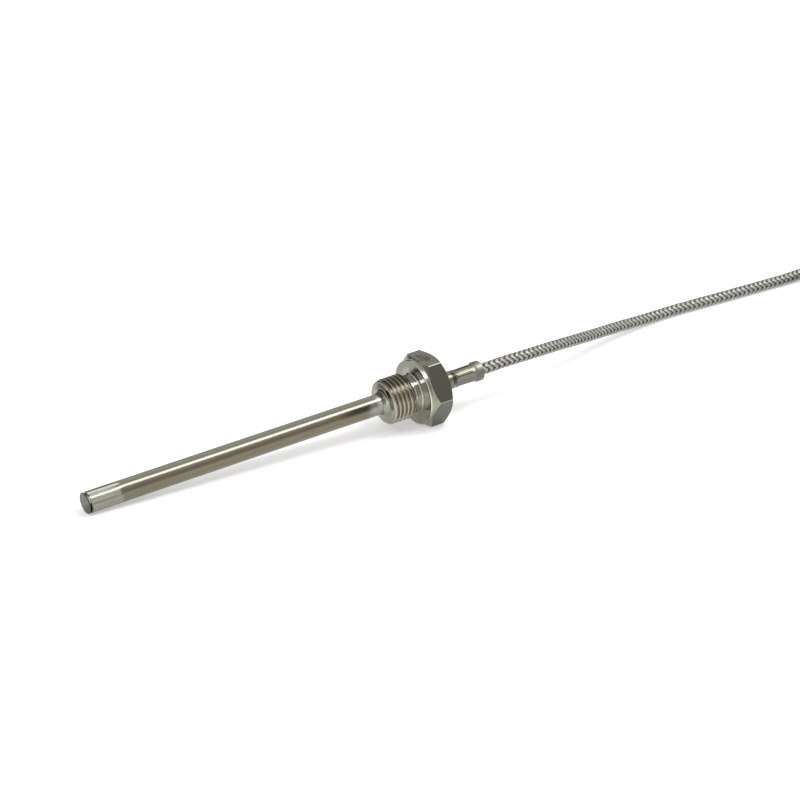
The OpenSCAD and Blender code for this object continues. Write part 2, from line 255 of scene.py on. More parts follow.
# points is (parts, rows, columns, 3), or one part without the first axis. Columns close round
# each part; rows close too with wrapRows, or end in a pole or a flat cap. The quads join each
# point with the next in its row and the next row's pair. turned is for columns that run the
# other way round. lift is a number for each point, which a material can read.
def gridPiece(name, points, material, wrapRows=False, ends="cap", sharpAngle=None,
              turned=False, node=None, lift=None):
    points = np.asarray(points, float)
    if points.ndim == 3:
        points = points[None]
    parts, rows, columns = points.shape[:3]
    index = np.arange(parts * rows * columns).reshape(parts, rows, columns)
    if ends == "pole":
        index[:, 0] = index[:, 0, :1]
        index[:, -1] = index[:, -1, :1]
    ring = np.concatenate([index, index[:, :, :1]], 2)
    if wrapRows:
        ring = np.concatenate([ring, ring[:, :1]], 1)
    corners = [ring[:, :-1, :-1], ring[:, :-1, 1:], ring[:, 1:, 1:], ring[:, 1:, :-1]]
    quads = np.stack(corners[::-1] if turned else corners, -1).reshape(-1, 4)
    # a quad at a pole has two corners in one place, and keeps three
    keep = quads != np.roll(quads, -1, 1)
    loopVertices, sizes = quads[keep], keep.sum(1)
    if not wrapRows and ends == "cap":
        firstCap = index[:, 0, ::1 if turned else -1]
        lastCap = index[:, -1, ::-1 if turned else 1]
        loopVertices = np.concatenate([loopVertices, firstCap.ravel(), lastCap.ravel()])
        sizes = np.concatenate([sizes, np.full(2 * parts, columns)])
    used, loopVertices = np.unique(loopVertices, return_inverse=True)
    mesh = bpy.data.meshes.new(name)
    mesh.vertices.add(len(used))
    mesh.vertices.foreach_set("co", points.reshape(-1, 3)[used].astype(np.float32).ravel())
    mesh.loops.add(len(loopVertices))
    mesh.loops.foreach_set("vertex_index", loopVertices.astype(np.int32))
    mesh.polygons.add(len(sizes))
    mesh.polygons.foreach_set("loop_start", (np.cumsum(sizes) - sizes).astype(np.int32))
    mesh.update(calc_edges=True)
    if lift is not None:
        heights = mesh.attributes.new("lift", "FLOAT", "POINT")
        heights.data.foreach_set("value", np.asarray(lift, np.float32).ravel()[used])
    mesh.polygons.foreach_set("use_smooth", np.ones(len(sizes), bool))
    if sharpAngle:
        mesh.set_sharp_from_angle(angle=math.radians(sharpAngle))
    mesh.materials.append(material)
    piece = bpy.data.objects.new(name, mesh)
    bpy.context.scene.collection.objects.link(piece)
    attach(piece, "root")
    if node:
        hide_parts(*([node] if isinstance(node, str) else node))
    return piece


# rows between two ends, each an x and a radius, or one such array per column
def rowsBetween(start, end, count, last=False):
    share = np.linspace(0, 1, count, endpoint=last)
    return [tuple(np.asarray(a) + (np.asarray(b) - a) * t for a, b in zip(start, end)) for t in share]


# rows round a fillet or rounded edge: centre plus radius, from one angle to another
def rowsRound(centre, radius, first, last, count):
    turns = np.radians(np.linspace(first, last, count))
    return [(centre[0] + radius * math.cos(t), centre[1] + radius * math.sin(t)) for t in turns]


def turnedGrid(rows, angles):
    x, radius = (np.stack([np.broadcast_to(row[k], angles.shape) for row in rows]) for k in (0, 1))
    return onProbe(x, radius, angles[None])


# the way a line goes, and at each station the directions up and to its right
def frameOf(line):
    way = unit(np.gradient(line, axis=0))
    right = unit(np.cross(way, overhead))
    return way, np.cross(right, way), right


# a round bar along a line: centre plus radius times cosine up and sine to the right
def barAlong(line, radius, columns, frames=None):
    way, up, right = frames or frameOf(line)
    angle = evenTurn(columns)[None, :, None]
    radius = np.broadcast_to(radius, (len(line),))[:, None, None]
    return line[:, None] + radius * (np.cos(angle) * up[:, None] + np.sin(angle) * right[:, None])


cableValues = {
    "inside": 3.0,  # the cord starts this far inside the mouth
    "mouth": 22.8,  # of the sheath, from the collar's front
    "step": 0.4,  # between the stations along the cable
    "coilAhead": 163.0,  # coil's middle from the mouth
    "coilRadius": 26.0,
    "turnPitch": 3.6,
    "lowZ": 2.4,
    "highZ": 5.95,
    "lowerEnd": 1080,  # degrees turned where the lower layer ends
    "upperStart": 1170,
    "upperEnd": 2160,
    "rise": (2150, 2205),  # up to the sleeve
    "shift": (2172, 2232),  # out or in to the sleeve
    "endTurn": 2240,
    "endZ": 9.92,
    "endRadius": 20.6,
}
# along X from the mouth, across, and above the ground
cableRoute = [(8, 0.5, 11.1), (16, 1.4, 10.9), (24, 3.2, 10.2), (32, 5.7, 9.1), (40, 8.6, 7.7),
              (48, 11.7, 6.2), (56, 14.7, 4.8), (64, 17.4, 3.6), (72, 19.5, 2.6), (80, 21, 2),
              (88, 21.9, 1.8), (96, 22.2, 1.8), (104, 22.3, 1.8), (112, 22.4, 1.8),
              (120, 22.6, 1.8), (128, 22.8, 1.8), (136, 23, 1.8), (142, 23.2, 2), (148, 23.3, 2.4)]
mouthPoint = onProbe(cableValues["mouth"], 0.0, 0.0)
coilCentre = mouthPoint[:2] / mm + [cableValues["coilAhead"],
                                    cableRoute[-1][1] - cableValues["coilRadius"]]


# a point over the coil, by radius, angle in degrees and height
def overCoil(radius, angle, z):
    radius, angle, z = np.broadcast_arrays(radius, np.radians(angle), z)
    x, y = coilCentre[0] + radius * np.cos(angle), coilCentre[1] + radius * np.sin(angle)
    return np.stack([x, y, z], -1)


# Turns clockwise from the coil's +Y side: inward in the lower layer, up on the innermost turn,
# outward in the upper layer, then up and over it to the sleeve. turn is in degrees.
def coilPoints(turn, v):
    pitch = v["turnPitch"] / 360
    inner = v["coilRadius"] - pitch * v["lowerEnd"]
    outer = inner + pitch * (v["upperEnd"] - v["upperStart"])
    upper = np.where(turn < v["upperStart"], inner, inner + pitch * (turn - v["upperStart"]))
    radius = np.where(turn < v["lowerEnd"], v["coilRadius"] - pitch * turn, upper)
    last = outer + (v["endRadius"] - outer) * smoothStep(*v["shift"], turn)
    radius = np.where(turn < v["upperEnd"], radius, last)
    z = v["lowZ"] + (v["highZ"] - v["lowZ"]) * smoothStep(v["lowerEnd"], v["upperStart"], turn)
    z = z + (v["endZ"] - v["highZ"]) * smoothStep(*v["rise"], turn)
    return overCoil(radius, 90 - turn, z)


# One smooth line through the points: a cubic spline over the chord length, with the given
# direction at its start and no bending at its end. The slopes at the points solve one row of
# equations, which makes the bending on both sides of each point the same.
def smoothLine(points, direction, step):
    chord = np.linalg.norm(np.diff(points, axis=0), axis=1)
    a, b = chord[:-1], chord[1:]
    matrix = np.diag([1, *(2 / a + 2 / b), 2])
    matrix += np.diag([*(1 / a), 1], -1) + np.diag([0, *(1 / b)], 1)
    pull = 3 * np.diff(points, axis=0) / chord[:, None]
    right = [[direction], pull[:-1] / a[:, None] + pull[1:] / b[:, None], pull[-1:]]
    slope = np.linalg.solve(matrix, np.concatenate(right))
    t = np.linspace(0, 1, 40, endpoint=False)[:, None, None]
    a, b = points[:-1], points[1:]
    m, k = slope[:-1] * chord[:, None], slope[1:] * chord[:, None]
    line = ((2 * t ** 3 - 3 * t ** 2 + 1) * a + (t ** 3 - 2 * t ** 2 + t) * m
            + (3 * t ** 2 - 2 * t ** 3) * b + (t ** 3 - t ** 2) * k)
    line = np.concatenate([line.transpose(1, 0, 2).reshape(-1, 3), points[-1:]])
    gone = np.concatenate([[0], np.cumsum(np.linalg.norm(np.diff(line, axis=0), axis=1))])
    wanted = np.linspace(0, gone[-1], int(round(gone[-1] / step)) + 1)
    return np.stack([np.interp(wanted, gone, line[:, k]) for k in range(3)], -1), wanted


startPoint = mouthPoint / mm - along * cableValues["inside"]
routePoints = [[mouthPoint[0] / mm + p[0], p[1], p[2]] for p in cableRoute]
coilTurns = np.append(np.arange(0, cableValues["endTurn"] - 7, 15.0), cableValues["endTurn"])
cableLine, cableGone = smoothLine(
    np.concatenate([[startPoint, mouthPoint / mm], routePoints, coilPoints(coilTurns, cableValues)]),
    along, cableValues["step"])


tints = {
    "steel": (0.335, 0.335, 0.285),
    "steelDark": (0.25, 0.247, 0.205),
    "collarTopShade": (0.195, 0.2, 0.175),
    "neck": (0.70, 0.69, 0.61),
    "neckHighlight": (0.92, 0.90, 0.83),
    "thread": (0.46, 0.44, 0.37),
    "paintedShade": (0.13, 0.13, 0.095),
    "wornAndHighlight": (0.78, 0.76, 0.70),
    "root": (0.24, 0.21, 0.145),
    "smudge": (0.085, 0.073, 0.038),
    "smudgePale": (0.17, 0.15, 0.09),
    "hexTopBackShade": (0.13, 0.14, 0.115),
    "straw": (0.275, 0.245, 0.165),
    "olive": (0.225, 0.205, 0.135),
    "strawShade": (0.172, 0.152, 0.098),
    "oliveShade": (0.15, 0.14, 0.088),
    "purple": (0.235, 0.20, 0.185),
    "cloud": (0.19, 0.17, 0.115),
    "shoulder": (0.055, 0.047, 0.025),
    "topReflectionGrey": (0.285, 0.285, 0.215),
    "topEdgeShade": (0.18, 0.168, 0.145),
    "paleHighlight": (0.23, 0.227, 0.2),
    "groundEdgeShade": (0.085, 0.083, 0.07),
    "groundFootShade": (0.115, 0.115, 0.092),
    "ground": (0.35, 0.36, 0.29),
    "groundDarkAndShade": (0.245, 0.255, 0.20),
    "groundShade": (0.22, 0.222, 0.175),
    "groundHighlight": (0.86, 0.86, 0.78),
    "scratchAndShade": (0.10, 0.095, 0.075),
    "rear": (0.225, 0.222, 0.18),
    "rearShade": (0.135, 0.137, 0.118),
    "mouth": (0.36, 0.325, 0.27),
    "mouthShade": (0.13, 0.132, 0.113),
    "groove": (0.035, 0.03, 0.018),
    "nearBraze": (0.30, 0.295, 0.25),
    "braze": (0.32, 0.325, 0.265),
    "paintedHighlight": (0.72, 0.70, 0.62),
    "paintedDarkShade": (0.045, 0.042, 0.03),
    "braid": (0.56, 0.56, 0.52),
    "braidDull": (0.4, 0.4, 0.368),
    "braidUnderShade": (0.115, 0.115, 0.1),
    "plug": (0.175, 0.18, 0.16),
    "plugDark": (0.105, 0.11, 0.095),
    "plugLow": (0.055, 0.056, 0.048),
}


# turned metal in two tints, with fine lines round it
def plainMetal(name, colour, darker, rough):
    p = Paint(name)
    place = p.probePlace()
    turned = p.noise(p.join(p.x * 6.0, p.y * 0.4, p.z * 0.4), 3.0, 4.0)
    blotch = p.noise(place, 0.5).step(0.35, 0.7)
    return p.finish(p.mix(blotch, colour, darker), turned * 0.12 + (rough - 0.06), 1.0, turned * 0.004)


# cloth, plastic and ceramic in two tints
def plainFinish(name, colour, darker, rough):
    p = Paint(name)
    cloud = p.noise(p.place(), 1.0)
    return p.finish(p.mix(cloud.step(0.3, 0.7), colour, darker), cloud * 0.15 + (rough - 0.07), 0.0,
                    cloud * 0.01)


tubeLook = {
    "bareFrom": -93.6,  # and on towards the tip, with a ragged edge
    "marks": [
        mark("purple", 0.55, pattern="patch"),
        mark("cloud", 0.35, pattern="cloud"),
        # painted shade, darker below, and a painted dark reflection on the shoulder by the fitting; grey
        # near the braze, with a painted highlight just in front of it
        mark("under", 0.9, faces=(300, 67, 0.78)),
        mark("cloud", 0.3, faces=(0, 75)),
        mark("shoulder", 0.95, faces=(238, 30), x=(-28, -20, -16.2, -14.8)),
        mark("nearBraze", 0.85, faces=(290, 80), x=(-17.5, -14.5)),
        mark("paintedHighlight", 0.95, faces=(222, 40), x=(-14.0, -12.4)),
        # painted reflection, lighter and greyer above and darker at the upper edge, and a painted
        # highlight, palest along the line that faces the light
        mark("topReflectionGrey", 0.7, faces=(182, 26, 0.5)),
        mark("topEdgeShade", 0.7, faces=(146, 26, 0.5)),
        mark("paleHighlight", 0.85, faces=(218, 11, 0.6)),
        # paler behind the fitting with painted shade below, and palest at the mouth, with painted shade
        # below there too
        mark("behind", x=(5.0, 7.0)),
        mark("rearShade", 0.85, faces=(315, 95), x=(8.0, 9.0)),
        mark("mouthRound", 0.9, x=(19.6, 20.6)),
        # painted shade in the pressed ring, along two lines of the crimp and on the lip
        mark("groove", 0.97, faces=(232, 56, 0.6), x=(12.0, 12.5, 13.3, 13.7)),
        mark("groove", 0.88, faces=(178, 17, 0.5), x=(13.7, 14.4, 18.9, 19.8)),
        mark("groove", 0.88, faces=(233, 10, 0.5), x=(13.7, 14.4, 18.9, 19.8)),
        mark("groove", 0.6, faces=(165, 36, 0.6), x=(19.4, 19.8, 21.4, 22.0)),
        # ground bare at the tip, and painted shade on the lower side at both ends
        mark("bareGround", pattern="bare"),
        mark("groove", 0.85, faces=(310, 60), x=(-102.15, -102.4)),
        mark("cloud", 0.5, faces=(315, 95), x=(22.2, 22.5)),
    ],
    "groundMarks": [
        # on the ground tip: painted highlights, a painted dark line between them, painted shade at the
        # upper edge, and painted shade below
        mark("groundHighlight", 0.3, faces=(236, 24)),
        mark("groundHighlight", 0.9, faces=(194, 12)),
        mark("scratchAndShade", 0.9, faces=(207, 8)),
        mark("groundEdgeShade", 0.6, faces=(160, 24, 0.5)),
        mark("groundShade", 0.6, faces=(300, 62, 0.7)),
        mark("groundFootShade", 0.8, faces=(346, 44, 0.55)),
    ],
}


def tubeFinish(v):
    p = Paint("tintedTube")
    place = p.probePlace()
    p.fromAxis()
    streak = p.noise(p.stretch(place, (0.12, 2.2, 2.2)), 1.6, 4.0)
    cloud = p.noise(p.stretch(place, (0.35, 0.8, 0.8)), 0.35)
    patch = p.noise(p.stretch(place, (0.3, 0.7, 0.7)), 0.55, 2.0, 0.5)
    ragged = p.x + (p.noise(p.stretch(place, (0.3, 1.5, 1.5)), 1.2, 3.0, 0.7) - 0.5) * 3.0
    bare = ragged.step(v["bareFrom"] + 0.7, v["bareFrom"] - 0.5)
    scratchAndShade = p.noise(p.stretch(place, (0.25, 7.0, 7.0)), 2.0)
    streaks = streak.step(0.35, 0.65)
    ground = p.mix(streak.step(0.3, 0.7), tints["ground"], tints["groundDarkAndShade"])
    mixed = {
        "under": p.mix(streaks, tints["strawShade"], tints["oliveShade"]),
        "behind": p.mix(cloud.step(0.35, 0.65) * 0.4, tints["rear"], tints["olive"]),
        "mouthRound": p.mix(p.facing(320, 92, 0.6), tints["mouth"], tints["mouthShade"]),
        "bareGround": p.lay(ground, v["groundMarks"], tints),
    }
    colour = p.lay(p.mix(streaks, tints["straw"], tints["olive"]), v["marks"], {**tints, **mixed},
                   patch=patch.step(0.5, 0.68), cloud=cloud.step(0.45, 0.7), bare=bare)
    rough = scratchAndShade * 0.10 + bare * 0.07 + cloud * 0.06 + 0.13 + p.x.step(19.6, 20.6) * 0.22
    return p.finish(colour, rough, 1.0, scratchAndShade * (bare * 0.004 + 0.0015),
                    Coat_Weight=0.5, Coat_Roughness=0.12)


fittingLook = {
    "marks": [
        # brown in the thread's roots, and painted shade above and round the front edge
        mark("thread", 0.6, x=(-1.8, -2.4)),
        mark("paintedShade", 0.68, faces=(172, 58), x=(-10.3, -10.16, -2.4, -1.8)),
        mark("paintedShade", 0.8, faces=(145, 85), x=(-10.15, -10.1, -9.75, -9.5), radius=(6.0, 6.06)),
        mark("root", 0.5, x=(-10.0, -9.8, -2.4, -1.8), radius=(6.3, 5.85)),
        # a bright neck with a painted highlight on the side that faces the light, and painted shade in
        # the corner where the collar starts
        mark("neck", x=(-2.3, -1.9, -0.3, -0.1), radius=(6.6, 6.3)),
        mark("neckHighlight", faces=(216, 34), x=(-2.3, -1.9, -0.3, -0.1), radius=(6.6, 6.3)),
        mark("groundDarkAndShade", 0.75, x=(-0.5, -0.4, -0.04, 0.0), radius=(5.62, 5.68, 6.2, 6.4)),
        mark("paintedDarkShade", 0.9, faces=(192, 30), x=(-0.25, -0.05, 0.1, 0.2), radius=(7.6, 6.6)),
        # painted highlights on the collar's two rims, on the side that faces the light
        mark("wornAndHighlight", 0.95, faces=(226, 78, 0.6), x=(0.35, 0.2), radius=(9.24, 9.34)),
        mark("wornAndHighlight", 0.95, faces=(226, 78, 0.6), x=(1.0, 1.1, 1.2, 1.26), radius=(9.24, 9.34)),
        # fine turned lines on the front face, with a painted highlight between them on the side that
        # faces the light and painted shade above; painted shade on the top of the collar's face
        mark("root", pattern="lines", x=(-10.05, -10.13), radius=(4.4, 4.7)),
        mark("paintedHighlight", 0.7, pattern="between", faces=(228, 40), x=(-10.05, -10.13),
             radius=(4.4, 4.7)),
        mark("paintedDarkShade", 0.9, faces=(192, 46, 0.6), x=(-10.05, -10.13), radius=(4.4, 4.7, 5.4, 5.9)),
        mark("collarTopShade", 0.8, faces=(170, 70), x=(-0.1, -0.02, 0.1, 0.2), radius=(6.6, 8.0)),
    ],
    # the milled flats by their angle: painted light and shade, one tint for each flat, darkest on the two
    # that face -Y
    "flats": {180: (0.225, 0.222, 0.19), 240: (0.13, 0.128, 0.095), 300: (0.12, 0.122, 0.10),
              0: (0.2, 0.195, 0.165), 60: (0.24, 0.23, 0.2), 120: (0.22, 0.21, 0.18)},
    "hexMarks": [
        # painted shade: a dark line on the front chamfer between the collar's rim and the flats, on the
        # upper -Y side
        mark("paintedShade", 0.8, pattern="offFlats", faces=(217, 20), x=(1.15, 1.25, 2.4, 2.5),
             radius=(9.6, 9.8)),
        # the corners are worn, with a painted highlight added on the side towards 200 degrees
        mark("wornAndHighlight", pattern="cornerWear", radius=(10.84, 10.92)),
        # painted shade towards the back of the top flat, and on the chamfer at the top flat's front edge
        # towards -Y
        mark("hexTopBackShade", 0.4, x=(5.2, 7.2), z=(9.3, 9.45)),
        mark("paintedDarkShade", 0.8, x=(1.3, 1.4, 1.7, 2.3), y=(-2.0, -1.0), z=(9.2, 9.42)),
        mark("stain", 0.85, pattern="spot", z=(9.3, 9.45)),
    ],
    "spotAt": (4.1, 0.1),  # a worn brown patch on the top flat
    "spotSize": (2.2, 3.4),
}


def fittingFinish(v):
    p = Paint("turnedFitting")
    place = p.probePlace()
    radius = p.fromAxis()
    rings = p.noise(p.join(p.x * 3.0, radius * 3.0, 0.0), 3.0)
    cloud = p.noise(place, 0.3)
    fine = p.noise(place, 2.0)
    turned = (radius * 13.0 + cloud * 3.0).sine().step(-0.2, 0.6)
    colour = p.mix(cloud.step(0.35, 0.65), tints["steel"], tints["steelDark"])
    colour = p.lay(colour, v["marks"], tints, lines=turned * 0.4 + 0.2, between=1 - turned)
    # a flat is a plane at one distance from the axis
    onFlat = 0.0
    for angle, tint in v["flats"].items():
        flat = p.toward(angle).step(9.47, 9.49) * p.x.step(1.0, 1.2)
        colour = p.mix(flat, colour, tint)
        onFlat = flat + onFlat
    ex, ey = ((way - at) / size for way, at, size in zip((p.x, p.y), v["spotAt"], v["spotSize"]))
    spot = (ex * ex + ey * ey + (p.noise(place, 0.9, 2.0, 0.5) - 0.5) * 2.2).step(0.9, 0.45)
    stain = p.mix(p.noise(place, 1.1, 2.0, 0.5).step(0.45, 0.6), tints["smudge"], tints["smudgePale"])
    colour = p.lay(colour, v["hexMarks"], {**tints, "stain": stain}, offFlats=1 - onFlat,
                   cornerWear=p.facing(200, 60) * 0.5 + 0.35, spot=spot)
    milled = p.noise(p.stretch(place, (0.6, 6.0, 6.0)), 2.0, 2.0, 0.5)
    polished = p.x.band(-2.3, -2.1, 0.1, 0.2) * radius.step(8.6, 7.8)
    rough = (rings * 0.10 + fine * 0.06 + 0.12 + onFlat * 0.12) * (1 - polished * 0.55)
    height = rings * (1 - onFlat) * (1 - polished * 0.8) * 0.004 + milled * onFlat * 0.003
    return p.finish(colour, rough, 1.0, height)


plugMarks = [
    mark("plugLow", 0.6, faces=(315, 80), radius=(0.3, 1.6)),  # darker low on one side
    mark("plugLow", 0.6, radius=(2.6, 2.8)),  # and at the rim
]


def plugFinish(marks):
    p = Paint("turnedPlug")
    place = p.probePlace()
    turned = p.noise(p.join(p.x * 6.0, p.fromAxis() * 2.5, 0.0), 3.0, 4.0)
    blotch = p.noise(place, 0.6)
    colour = p.mix(blotch.step(0.35, 0.7), tints["plug"], tints["plugDark"])
    return p.finish(p.lay(colour, marks, tints), turned * 0.16 + 0.32, 1.0, turned * 0.006)


brazeMarks = [
    mark("paintedHighlight", 0.9, pattern="crescents", faces=(226, 34)),
    mark("paintedDarkShade", 0.92, pattern="flux", faces=(182, 66)),
]


# silver braze, plain grey below, with a painted dark reflection above and painted highlight crescents on
# the shoulder
def brazeFinish(marks):
    p = Paint("silverBraze")
    cloud = p.noise(p.probePlace(), 0.7)
    bands = (p.fromAxis() * 9.0 + cloud * 2.5).sine().step(-0.4, 0.5)
    colour = p.mix(cloud.step(0.3, 0.7) * 0.5, tints["braze"], tints["nearBraze"])
    colour = p.lay(colour, marks, tints, crescents=bands, flux=1 - bands * 0.3)
    return p.finish(colour, cloud * 0.15 + 0.12, 1.0, cloud * 0.02)


# bright where a band lies over the others, with painted shade, dull and dark, where it dips under them
def braidFinish():
    p = Paint("braidWire")
    fine = p.noise(p.place(), 1.2)
    lift = p.node("ShaderNodeAttribute", {"attribute_name": "lift"}, None, "Fac")
    colour = p.mix(fine.step(0.35, 0.65), tints["braid"], tints["braidDull"])
    colour = p.mix(lift.step(0.75, 0.1), colour, tints["braidUnderShade"])
    return p.finish(colour, fine * 0.15 + 0.48, 1.0, fine * 0.003)


fittingValues = {
    "boreRadius": 3.05,
    "front": -10.15,
    "faceRadius": 6.05,
    "threadRadius": 6.5785,
    "rootRadius": 5.722,
    "pitch": 1.337,
    "crestRounding": 0.1837,
    "flank": 27.5,
    "threadEnd": -3.45,
    "runOut": 1.03,  # how steeply the crests fall away there
    "reliefStart": -2.5,
    "reliefRadius": 5.6,
    "reliefFillet": 0.5,
    "collarRadius": 9.4,
    "collarRounding": 0.16,
    "hexFront": 1.2,
    "hexBack": 7.3,
    "halfAcross": 9.5,
    "ringRadius": 9.45,
    "chamfer": 34.0,
    "edge": 0.07,
}


# Whitworth form: round crests and roots joined by flanks at an angle to the radius. The profile
# repeats each pitch along the axis and moves one pitch on for each turn.
def threadRadius(x, angle, v):
    phase = x / v["pitch"] - angle / (2 * np.pi)
    away = np.abs(phase - np.round(phase)) * v["pitch"]  # from the middle of a crest
    fromRoot = v["pitch"] / 2 - away
    rho, lean = v["crestRounding"], math.radians(v["flank"])
    reach = rho * math.cos(lean)
    crest = v["threadRadius"] - rho + np.sqrt(np.maximum(rho ** 2 - away ** 2, 0))
    root = v["rootRadius"] + rho - np.sqrt(np.maximum(rho ** 2 - fromRoot ** 2, 0))
    flank = v["threadRadius"] - rho + rho * math.sin(lean) - (away - reach) / math.tan(lean)
    radius = np.where(away < reach, crest, np.where(fromRoot < reach, root, flank))
    cut = np.minimum(v["faceRadius"] + (x - v["front"]),
                     v["threadRadius"] - (x - v["threadEnd"]) * v["runOut"])
    return np.clip(np.minimum(radius, cut), v["reliefRadius"], None)


# flats at 0, 60 ... 300 degrees; the corners are slightly rounded by the high power
def hexRadius(angle, halfAcross, power=300.0):
    flats = np.radians(np.arange(0, 360, 60))[:, None]
    return halfAcross * (np.maximum(np.cos(angle - flats), 0) ** power).sum(0) ** (-1 / power)


# turned rows from the bore's back end, forward through it, out over the face, back along the
# thread, neck, collar and hexagon, and in again
def fittingPiece(material):
    v = fittingValues
    bore, front, back, start = v["boreRadius"], v["front"], v["hexBack"], v["hexFront"]
    # columns are close together at the hexagon's corners
    fine = np.array([-1.6, -0.9, -0.5, -0.25, 0, 0.25, 0.5, 0.9, 1.6])
    sector = np.concatenate([fine, np.linspace(1.6, 58.4, 39)[1:-1]])
    angles = np.radians(np.concatenate([sector + 30 + 60 * k for k in range(6)]))
    rows = rowsBetween((back - 0.2, bore), (front + 0.1, bore), 12, True)
    rows += rowsBetween((front, bore + 0.1), (front, v["faceRadius"] - 0.05), 10, True)
    for x in np.arange(front + 0.03, v["reliefStart"] - 0.03, 0.06):
        rows.append((x, threadRadius(x, angles, v)))
    f, c = v["reliefFillet"], v["collarRounding"]
    relief, collar, ring = v["reliefRadius"], v["collarRadius"], v["ringRadius"]
    rows += rowsBetween((v["reliefStart"], relief), (-f, relief), 8)
    rows += rowsRound((-f, relief + f), f, -90, 0, 7)
    rows += rowsBetween((0.0, relief + f + 0.1), (0.0, collar - c - 0.02), 14)
    rows += rowsRound((c, collar - c), c, 180, 90, 6)
    rows += rowsBetween((c + 0.05, collar), (start - 0.2, collar), 5, True)
    rows += rowsRound((start - 0.14, collar - 0.1), 0.1, 80, 0, 4)
    rows += [(start - 0.03, collar - 0.12), (start + 0.01, ring - 0.07)]
    # chamfers run out from a ring to the flats, with their edges broken by e
    hexAt = hexRadius(angles, v["halfAcross"])
    reach, slope = hexAt - ring, math.tan(math.radians(v["chamfer"]))
    e = np.minimum(v["edge"], reach * 0.6)
    rise, cut = reach * slope, (reach - e) * slope
    first, last = start + 0.03, back - 0.03
    rows += rowsBetween((first, ring), (first + cut, hexAt - e), 14, True)
    rows.append((first + rise - e * 0.1, hexAt - e * 0.35))
    rows += rowsBetween((first + rise + e, hexAt), (last - rise - e, hexAt), 30, True)
    rows.append((last - rise + e * 0.1, hexAt - e * 0.35))
    rows += rowsBetween((last - cut, hexAt - e), (last, ring), 14, True)
    rows += rowsBetween((back, ring - 0.05), (back, bore + 0.2), 18, True)
    rows += rowsRound((back - 0.15, bore + 0.15), 0.15, 0, -90, 4)[1:3]
    return gridPiece("screw_fitting_body", turnedGrid(rows, angles), material,
                     wrapRows=True, sharpAngle=40, node="screw_fitting")


sheathValues = {
    "radius": 3.0,
    "wall": 0.75,
    "front": -102.54,
    "back": cableValues["mouth"],
    "rim": 0.18,
    "crimpStart": 13.9,
    "crimpEnd": 20.4,
    "crimpHalf": 2.5,
    "crimpOpening": 0.12,  # how much wider the crimp is at its mouth end
    "crown": 0.03,  # of each pressed flat
    "cornerPower": 34,
    "blendPower": 14,
    "roll": 30.0,
    "neck": 0.7,
    "taperStart": 9.0,
    "taperRadius": 2.66,
    "ringAt": 13.4,
    "ringDepth": 0.22,
    "ringWidth": 0.35,
    "mouthRadius": 2.96,
    "facets": 9,
    "facetDepth": 0.06,
    "facetPhase": 1.257,
    "facetEnd": -93.6,
    "columns": 128,
    "dentAt": (15.1, 269.0),  # along, and round in degrees
    "dentSize": 0.3,
    "dentDepth": 0.12,
}


# The crimp is a soft hexagon: the smaller of the tube and six slightly crowned planes, with the
# corners rounded by a power mean, and eased in and out along the axis. Ahead of it the tube tapers
# to a pressed ring. At the tip hand grinding has left shallow facets round the tube.
def sheathOuter(x, angle, v):
    turn = angle - np.radians(v["roll"])
    planes = np.radians(np.arange(0, 360, 60))[:, None]
    inward = (np.maximum(np.cos(turn - planes), 0) ** v["cornerPower"]).sum(0) ** (-1 / v["cornerPower"])
    half = v["crimpHalf"] + v["crimpOpening"] * smoothStep(v["crimpStart"], v["crimpEnd"], x)
    pressed = half * inward + v["crown"] * (1 + np.cos(6 * turn)) / 2
    crimped = (v["radius"] ** -v["blendPower"] + pressed ** -v["blendPower"]) ** (-1 / v["blendPower"])
    taper = v["radius"] + (v["taperRadius"] - v["radius"]) * smoothStep(v["taperStart"], v["ringAt"], x)
    plain = taper + (v["mouthRadius"] - taper) * smoothStep(v["crimpEnd"] - 0.4, v["crimpEnd"] + 0.5, x)
    plain = plain - v["ringDepth"] * np.exp(-((x - v["ringAt"]) / v["ringWidth"]) ** 2)
    share = (smoothStep(v["crimpStart"], v["crimpStart"] + v["neck"], x)
             * (1 - smoothStep(v["crimpEnd"] - v["neck"], v["crimpEnd"], x)))
    ground = v["facetDepth"] * np.cos(v["facets"] * angle + v["facetPhase"]) * (
        1 - smoothStep(v["facetEnd"] - 3.0, v["facetEnd"] + 0.5, x))
    away = np.hypot(x - v["dentAt"][0], (angle - np.radians(v["dentAt"][1])) * v["radius"])
    dent = v["dentDepth"] * np.exp(-(away / v["dentSize"]) ** 2)
    return plain + (crimped - plain) * share + (ground - np.abs(ground)) / 2 - dent


def sheathPiece(material):
    v = sheathValues
    rim, bore = v["rim"], v["radius"] - v["wall"]
    angles = evenTurn(v["columns"])
    # stations lie close together at the ground tip and the crimp
    stations = np.concatenate([
        np.linspace(v["front"] + rim, -88, 30), np.linspace(-86, 7, 40),
        np.linspace(8, 11.9, 11), np.linspace(12, 21, 91), np.linspace(21.1, v["back"] - rim, 14)])
    outer = [(x, sheathOuter(x, angles, v)) for x in stations]
    tipRim = rowsRound((v["front"] + rim, v["radius"] - rim), rim, 180, 97, 5)
    lip = [(v["back"] - rim * (1 - math.sin(t)), outer[-1][1] - rim * 1.6 * (1 - math.cos(t)))
           for t in np.radians([15, 35, 55, 75, 90])]
    inner = [(x, np.minimum(bore, radius - v["wall"])) for x, radius in outer[::-4]]
    inner.append((v["front"], bore))
    return gridPiece("sheath_tube_body", turnedGrid(tipRim + outer + lip + inner, angles),
                     material, wrapRows=True, sharpAngle=50, node="sheath_tube")


